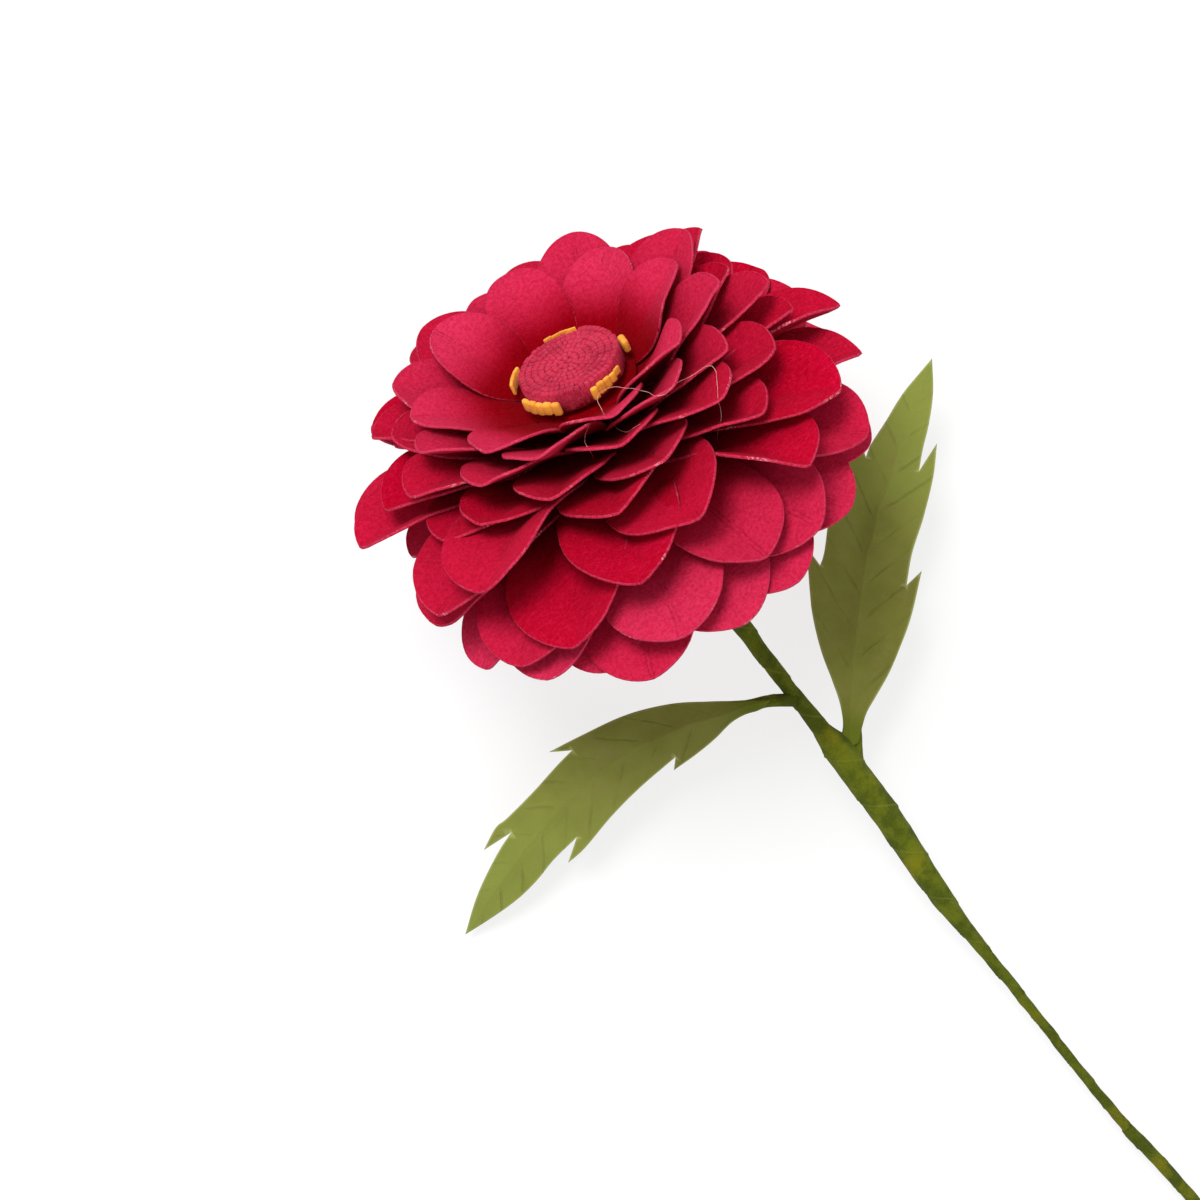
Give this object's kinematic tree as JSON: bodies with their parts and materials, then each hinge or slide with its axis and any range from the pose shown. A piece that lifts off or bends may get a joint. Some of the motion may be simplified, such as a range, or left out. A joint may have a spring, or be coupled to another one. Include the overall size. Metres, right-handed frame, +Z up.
{
  "type": "paper flower",
  "caption": "Paper zinnia with rows of creased, round-ended petals round a rolled fringe disc, on a taped wire stem with serrated paper leaves, lying down.",
  "frame": {"origin": "middle of the footprint on the table the flower lies on", "axes": "+Z up; +Y along the lying stem from its cut end towards the head; +X to the side of the right leaf"},
  "size_m": [0.1126, 0.2406, 0.073],
  "materials": {
    "petal_card": "matt fibrous crimson card, lighter at the cut rims",
    "coil_paper": "rough dusty red rolled fringe",
    "floret_paper": "matt golden yellow fringe paper",
    "stem_tape_paper": "wound olive green crepe tape, mottled",
    "wire_steel": "plain drawn wire",
    "leaf_paper": "matt grey-green paper, soft veins"
  },
  "bodies": {
    "root": {"petal_layer_1": "petal_card", "petal_layer_2": "petal_card", "petal_layer_3": "petal_card", "petal_layer_4": "petal_card", "petal_layer_5": "petal_card", "petal_layer_6": "petal_card", "petal_layer_7": "petal_card", "petal_layer_8": "petal_card", "petal_layer_9": "petal_card", "center_coil": "coil_paper", "yellow_floret_1": "floret_paper", "yellow_floret_2": "floret_paper", "yellow_floret_3": "floret_paper", "yellow_floret_4": "floret_paper", "yellow_floret_5": "floret_paper", "stem_tape": "stem_tape_paper", "stem_wire": "wire_steel", "left_leaf": "leaf_paper", "left_leaf_stalk": "stem_tape_paper", "right_leaf": "leaf_paper", "right_leaf_stalk": "stem_tape_paper"}
  },
  "joints": []
}
